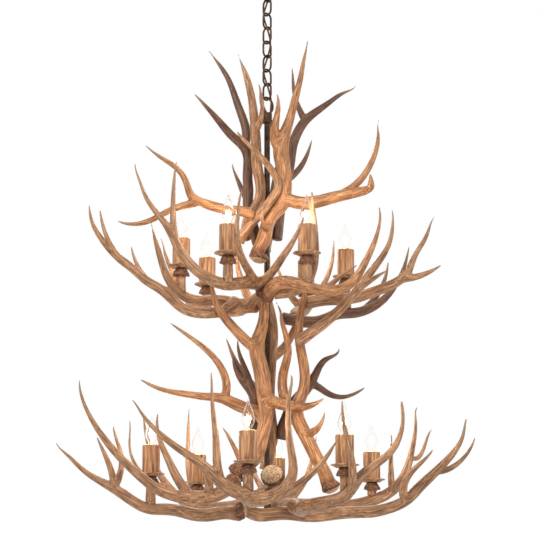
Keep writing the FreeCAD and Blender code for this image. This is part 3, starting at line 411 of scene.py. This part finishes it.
def makeAntlers():
    finishes = {tone: antlerFinish(tone + "Antler", antlerTones[tone]) for tone in antlerTones}
    for seed, name in enumerate(sorted(n for n in nodes if n.endswith("_antler"))):
        bm = copyOf(name)
        burrs = []
        if name in feet:
            foot, along, radius = footOf(name)
            middle = foot + along * hornShape["ringRise"]
            addPearls(bm, middle, along, radius, seed)
            turn = along.to_track_quat("Z", "Y").to_matrix().to_4x4()
            dome = Matrix.Diagonal((radius * 0.8, radius * 0.8, hornShape["domeRise"], 1))
            bmesh.ops.create_icosphere(bm, subdivisions=3, radius=1.0,
                                       matrix=Matrix.Translation(foot - along * 1 * mm) @ turn @ dome)
            burrs.append((middle, along, radius))
        made = remeshed(name.replace("_antler", "Horn"), bm)
        grow(made, burrs, seed * 5.7)
        made.data.materials.clear()
        made.data.materials.append(finishes[antlerToneOf.get(name, "tan")])
        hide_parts(name)
        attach(made, "fixture")
    print("antlers dressed")


# ---- candles ----
candle = dict(
    sleeveRadius=24.0, sleeveTop=82.0, sleeveWall=3.0, mouthRadius=12.5, sleeveSides=96,
    flutes=1.1 * mm, bulbRadius=17.0, bulbNeck=7.5, bulbFoot=78.0, bulbLength=86.0,
    postBurrDrop=15.0, burrRadius=19.5, glowWatts=0.55, glowRise=34,
)


def candlePlaces():                             # the middle of each saucer's floor
    bm = copyOf("candle_saucers")
    left, places = set(bm.verts), []
    while left:
        island, edge = set(), [left.pop()]
        while edge:
            vert = edge.pop()
            island.add(vert)
            for link in vert.link_edges:
                other = link.other_vert(vert)
                if other in left:
                    left.discard(other)
                    edge.append(other)
        xs, ys, zs = ([v.co[axis] for v in island] for axis in range(3))
        places.append(Vector(((min(xs) + max(xs)) / 2, (min(ys) + max(ys)) / 2, min(zs) + 1.6 * mm)))
    bm.free()
    return sorted(places, key=lambda place: (round(place.z, 2), round(place.x, 3)))


def spun(bm, outline, sides):                   # outline is (radius, height) pairs in mm
    verts = [bm.verts.new((radius * mm, 0, height * mm)) for radius, height in outline]
    edges = [bm.edges.new(pair) for pair in zip(verts, verts[1:])]
    bmesh.ops.spin(bm, geom=verts + edges, cent=(0, 0, 0), axis=(0, 0, 1), angle=math.tau,
                   steps=sides, use_merge=True)
    bmesh.ops.remove_doubles(bm, verts=bm.verts, dist=1e-6)
    bmesh.ops.recalc_face_normals(bm, faces=bm.faces)


def makeSleeves(places, finish):
    sizes = ("sleeveRadius", "sleeveTop", "sleeveWall", "mouthRadius")
    radius, top, wall, mouth = (candle[key] for key in sizes)
    rows = [(radius, 2 + (top - 5) * step / 24) for step in range(25)]
    outline = [(radius - wall, 0.3), (radius - 1.4, 0.3), (radius - 0.5, 0.9)] + rows
    outline += [(radius - 0.7, top - 1.6), (radius - 2.0, top - 0.5), (radius - 3.6, top - 0.1),
                (radius - 6, top - 0.3), (mouth + 1, top - 0.9), (mouth, top - 1.6), (mouth, top - 4),
                (radius - wall - 1, top - 4.2), (radius - wall, top - 8), (radius - wall, 0.3)]
    for number, place in enumerate(places):
        bm = bmesh.new()
        spun(bm, outline, candle["sleeveSides"])
        sleeve = objectFrom(f"sleeve{number + 1}", bm)
        mesh = sleeve.data
        relief = []
        for vert in mesh.vertices:
            around = math.atan2(vert.co.y, vert.co.x)
            spot = Vector((math.cos(around), math.sin(around), 0)) * 3.4
            spot += Vector((0, 0, vert.co.z * 5 + number * 9.1))
            flute = noise.noise(spot)
            broad = noise.noise(spot * 0.35)
            depth = -max(0.0, 1 - abs(flute) / 0.22) + 0.5 * broad
            relief.append(depth)
            out = math.hypot(vert.co.x, vert.co.y)
            share = min(max((out / mm - radius + 4) / 3, 0), 1)
            vert.co.xy *= 1 + candle["flutes"] * share * (depth - 0.35) / max(out, 1 * mm)
            vert.co += place
        store(mesh, "relief", "FLOAT", np.array(relief))
        heights = np.array([(vert.co.z - place.z) / mm for vert in mesh.vertices])
        store(mesh, "high", "FLOAT", heights)
        grain = [(*(vert.co - place).xy * 170, (vert.co.z - place.z) * 14 + number * 3.7)
                 for vert in mesh.vertices]
        store(mesh, "grain", "FLOAT_VECTOR", np.array(grain))
        mesh.materials.append(finish)
        mesh.shade_smooth()
        if number == 0:
            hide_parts("candle_sleeves")
        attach(sleeve, "fixture")


def sleeveFinish():
    finish = Finish("sleeveHorn")
    grain = finish.attribute("grain", "Vector")
    relief = finish.attribute("relief")
    streak = finish.noise(grain, 1.0, 5.0, 0.6)
    wood = finish.ramp(streak, (0.34, paint(128, 82, 48)), (0.5, paint(184, 130, 86)),
                       (0.66, paint(222, 172, 124)))
    # painted shade: the sunken flutes are darkened towards a deep brown
    wood = finish.mix(finish.grey(relief, -0.1, -1.0) * 0.75, wood, paint(98, 60, 34))
    # painted highlight: the top rim is lightened as if lit by the bulb above it
    rimPaintedHighlight = finish.grey(finish.attribute("high"), 79.5, 81.5)
    wood = finish.mix(rimPaintedHighlight * 0.75, wood, paint(240, 205, 165))
    rough = 0.45 + streak * 0.2
    return finish.surface(Base_Color=wood, Roughness=rough, Normal=finish.bump(streak, 0.5 * mm))


def makeBulbs(places):
    clear = Finish("bulbGlass")
    clear.surface(Base_Color=(1, 0.985, 0.965, 1), Roughness=0.02, Transmission_Weight=1.0, IOR=1.3)
    glow = Finish("filamentGlow")
    glow.surface(Base_Color=paint(255, 240, 220), Emission_Color=paint(255, 236, 205),
                 Emission_Strength=9.0)
    metal = brassFinish()
    sizes = ("bulbRadius", "bulbNeck", "bulbFoot", "bulbLength")
    reach, neck, low, length = (candle[key] for key in sizes)
    shares = [(0.0, neck), (0.05, neck * 1.02), (0.12, neck * 1.12), (0.2, reach * 0.72),
              (0.28, reach * 0.93), (0.36, reach), (0.44, reach * 0.965), (0.52, reach * 0.87),
              (0.6, reach * 0.73), (0.68, reach * 0.57), (0.76, reach * 0.4), (0.84, reach * 0.25),
              (0.91, reach * 0.14), (0.97, reach * 0.06), (1.0, 0.01)]
    outer = [(radius, low + share * length) for share, radius in shares]
    inner = [(max(radius - 0.7, 0.01), low + 0.7 + share * (length - 4)) for share, radius in shares]
    for number, place in enumerate(places):
        bm = bmesh.new()
        spun(bm, [(0.01, low)] + outer, 40)
        inside = bmesh.new()
        spun(inside, [(0.01, low + 0.7)] + inner, 40)
        bmesh.ops.reverse_faces(inside, faces=inside.faces)
        spare = bpy.data.meshes.new("spare")
        inside.to_mesh(spare)
        inside.free()
        bm.from_mesh(spare)
        bpy.data.meshes.remove(spare)
        bmesh.ops.translate(bm, verts=bm.verts, vec=place)
        glass = objectFrom(f"bulb{number + 1}", bm)
        glass.data.materials.append(clear.material)
        glass.data.shade_smooth()
        glass.visible_shadow = False
        if number == 0:
            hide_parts("bulb_glass")
        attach(glass, "fixture")
        makeFilament(number, place, glow.material, metal)
        name = f"glow{number + 1}"
        lamp = bpy.data.objects.new(name, bpy.data.lights.new(name, "POINT"))
        lamp.data.energy = candle["glowWatts"]
        lamp.data.color = (1.0, 0.86, 0.68)
        lamp.data.shadow_soft_size = 8 * mm
        lamp.location = place + Vector((0, 0, (low + candle["glowRise"]) * mm))
        scene.collection.objects.link(lamp)


def makeFilament(number, place, glow, metal):
    low = candle["bulbFoot"]
    bm = bmesh.new()
    outline = [(0.01, 20), (1.6, 19), (2.6, 12), (4.2, 4), (5.0, 1), (0.01, 1)]
    spun(bm, [(radius, low + rise) for radius, rise in outline], 20)
    bmesh.ops.translate(bm, verts=bm.verts, vec=place)
    stem = objectFrom(f"bulbStem{number + 1}", bm)
    stem.data.materials.append(metal)
    stem.data.shade_smooth()
    stem.visible_shadow = False
    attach(stem, "fixture")
    line = bpy.data.curves.new(f"filament{number + 1}", "CURVE")
    line.dimensions = "3D"
    line.bevel_depth = 0.55 * mm
    line.bevel_resolution = 2
    spline = line.splines.new("NURBS")
    shape = [(-1.5, 18), (-4.5, 26), (-3.5, 34), (0, 38), (3.5, 34), (4.5, 26), (1.5, 18)]
    spline.points.add(len(shape) - 1)
    for point, (across, up) in zip(spline.points, shape):
        point.co = (*(place + Vector((across * mm, 0, (low + up) * mm))), 1)
    spline.use_endpoint_u = True
    spline.order_u = 3
    wire = bpy.data.objects.new(f"filament{number + 1}", line)
    wire.visible_shadow = False
    scene.collection.objects.link(wire)
    line.materials.append(glow)
    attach(wire, "fixture")


def makePosts(places, finish):
    bm = copyOf("candle_posts")
    burrs = []
    for number, place in enumerate(places):
        middle = place + Vector((0, 0, -candle["postBurrDrop"] * mm))
        upward, radius = Vector((0, 0, 1)), candle["burrRadius"] * mm
        addPearls(bm, middle - upward * 6 * mm, upward, radius, 40 + number)
        burrs.append((middle, upward, radius))
    made = remeshed("candlePosts", bm)
    grow(made, burrs, 301.0)
    bone = made.data.attributes["bone"].data    # a post shows no pale pedicle end
    bone.foreach_set("value", np.zeros(len(bone), dtype=np.float32))
    made.data.materials.clear()
    made.data.materials.append(finish)
    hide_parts("candle_posts")
    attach(made, "fixture")


# ---- metal, cord and small parts ----
def bronzeFinish():
    finish = Finish("darkBronze")
    place = finish.place()
    cloud = finish.noise(place, 55.0, 4.0)
    rub = finish.noise(place, 420.0, 2.0)
    tone = finish.ramp(cloud, (0.35, paint(52, 38, 30)), (0.6, paint(86, 62, 46)),
                       (0.75, paint(120, 86, 58)))
    rough = 0.34 + cloud * 0.3
    return finish.surface(Base_Color=tone, Metallic=0.75, Roughness=rough,
                          Normal=finish.bump(rub, 0.1 * mm, 0.6))


def brassFinish():
    finish = Finish("capBrass")
    cloud = finish.noise(finish.place(), 240.0, 3.0)
    tone = finish.ramp(cloud, (0.35, paint(196, 160, 96)), (0.65, paint(232, 204, 146)))
    return finish.surface(Base_Color=tone, Metallic=0.9, Roughness=0.25 + cloud * 0.2)


def steelFinish():
    finish = Finish("zincSteel")
    cloud = finish.noise(finish.place(), 160.0, 3.0)
    tone = finish.ramp(cloud, (0.3, paint(150, 150, 152)), (0.7, paint(196, 197, 200)))
    return finish.surface(Base_Color=tone, Metallic=0.9, Roughness=0.3 + cloud * 0.3)


def saucerFinish():
    finish = Finish("saucerBronze")
    cloud = finish.noise(finish.place(), 90.0, 4.0)
    tone = finish.ramp(cloud, (0.3, paint(120, 84, 56)), (0.5, paint(172, 130, 92)),
                       (0.7, paint(214, 178, 136)))
    return finish.surface(Base_Color=tone, Metallic=0.35, Roughness=0.4 + cloud * 0.2,
                          Normal=finish.bump(cloud, 0.2 * mm))


def plasticFinish(name, low, high, rough):
    finish = Finish(name)
    cloud = finish.noise(finish.place(), 300.0, 3.0)
    tone = finish.ramp(cloud, (0.3, low), (0.7, high))
    return finish.surface(Base_Color=tone, Roughness=rough + cloud * 0.2,
                          Normal=finish.bump(cloud, 0.05 * mm))


def makeMetal():
    bronze, steel = bronzeFinish(), steelFinish()
    given = {
        bronze: ("ceiling_canopy", "canopy_loop", "chain_link_top", "chain_links", "chain_link_bottom",
                 "fixture_loop", "stem_nut", "stem_tube"),
        steel: ("ceiling_crossbar", "canopy_nipple", "nipple_nuts", "joint_pins", "candle_nipples",
                "candle_nuts"),
        saucerFinish(): ("candle_saucers",),
        brassFinish(): ("bulb_bases",),
        plasticFinish("blackNylon", paint(24, 23, 22), paint(38, 36, 34), 0.5): ("cord_bushing",),
        plasticFinish("socketCard", paint(206, 196, 176), paint(226, 218, 200), 0.6): ("candle_sockets",),
    }
    for finish, names in given.items():
        for name in names:
            mesh = nodes[name].data
            mesh.materials.clear()
            mesh.materials.append(finish)
    print("metal finished")


# ---- supply cord ----
cordShape = dict(
    diameter=5.0 * mm, weave=12.0, holeOffset=22.0, stemOffset=9.6, canopyDepth=28.0, capTop=-440.3,
)
bars = dict(first=-72.6, second=-113.4, pitch=41.2, count=8)    # heights where one link hangs on the next


def barHeight(number):
    return bars["first"] if number == 0 else bars["second"] - (number - 1) * bars["pitch"]


def cordRoute():                                # in mm, from inside the canopy to inside the cap
    weave, hole, canopy = cordShape["weave"], cordShape["holeOffset"], cordShape["canopyDepth"]
    stem, cap = cordShape["stemOffset"], cordShape["capTop"]
    points = [(hole, 0, 14 - canopy), (hole, 0, -canopy - 8), (hole - 7, 0.5, -canopy - 27)]
    for bar in range(bars["count"] + 1):
        angle = math.radians(90 * bar)
        points.append((weave * math.cos(angle), weave * math.sin(angle), barHeight(bar)))
    points += [(stem + 0.6, 0.6, cap + 14), (stem, 0, cap + 2), (stem, 0, cap - 6)]
    return points


def makeCord():
    line = bpy.data.curves.new("cordLine", "CURVE")
    line.dimensions = "3D"
    line.resolution_u = 10
    spline = line.splines.new("NURBS")
    points = cordRoute()
    spline.points.add(len(points) - 1)
    for point, place in zip(spline.points, points):
        point.co = (*(Vector(place) * mm), 1)
    spline.use_endpoint_u = True
    spline.order_u = 3
    line.bevel_depth = cordShape["diameter"] / 2
    line.bevel_resolution = 6
    guide = bpy.data.objects.new("cordGuide", line)
    scene.collection.objects.link(guide)
    mesh = bpy.data.meshes.new_from_object(guide.evaluated_get(bpy.context.evaluated_depsgraph_get()))
    bpy.data.objects.remove(guide)
    finish = cordFinish()
    # the cord is cut in the middle of the links
    middles = [(barHeight(bar) + barHeight(bar + 1)) / 2 for bar in (0, 1, 6, 7)]
    cuts = [0.0] + [height * mm for height in middles] + [-1.0]
    lengths = [("cordTop", "ceiling_mount", "top_link", 0), ("cordUpper", "top_link", "chain", 1),
               ("cordMiddle", "chain", None, None), ("cordLower", "chain", "bottom_link", 7),
               ("cordFoot", "bottom_link", "fixture", 8)]
    for (name, above, below, bar), high, low in zip(lengths, cuts, cuts[1:]):
        bm = bmesh.new()
        bm.from_mesh(mesh)
        for height, way in ((high, 1), (low, -1)):
            bmesh.ops.bisect_plane(bm, geom=bm.verts[:] + bm.edges[:] + bm.faces[:],
                                   plane_co=(0, 0, height), plane_no=(0, 0, way), clear_outer=True)
        bmesh.ops.holes_fill(bm, edges=[edge for edge in bm.edges if edge.is_boundary], sides=0)
        piece = objectFrom(name, bm)
        piece.data.materials.append(finish)
        piece.data.shade_smooth()
        if below:
            height = barHeight(bar) * mm
            height + 6 * mm
            height - 6 * mm
            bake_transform(piece)
        else:
            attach(piece, above)
        if name == "cordTop":
            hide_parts("cord_ceiling_end")
        elif name == "cordMiddle":
            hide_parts("supply_cord")
        elif name == "cordFoot":
            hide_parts("cord_fixture_end")
    print("cord laid through the chain")


def cordFinish():
    finish = Finish("brownCord")
    place = finish.place()
    weave = finish.node("ShaderNodeTexWave", dict(bands_direction="DIAGONAL"),
                        {"Vector": place, "Scale": 420.0, "Distortion": 1.5, "Detail": 1.0}, 1)
    tone = finish.ramp(weave, (0.2, paint(62, 40, 24)), (0.8, paint(104, 70, 42)))
    return finish.surface(Base_Color=tone, Roughness=0.62 + weave * 0.15,
                          Normal=finish.bump(weave, 0.25 * mm))


# ---- the whole ----
makeCamera()
makeCord()
makeBackdrop()
for lampName in ("key", "side", "back"):
    makeLamp(lampName)
makeMetal()
makeAntlers()
saucers = candlePlaces()
makeSleeves(saucers, sleeveFinish())
makePosts(saucers, antlerFinish("postHorn", antlerTones["tan"]))
makeBulbs(saucers)
print("candles made:", len(saucers))
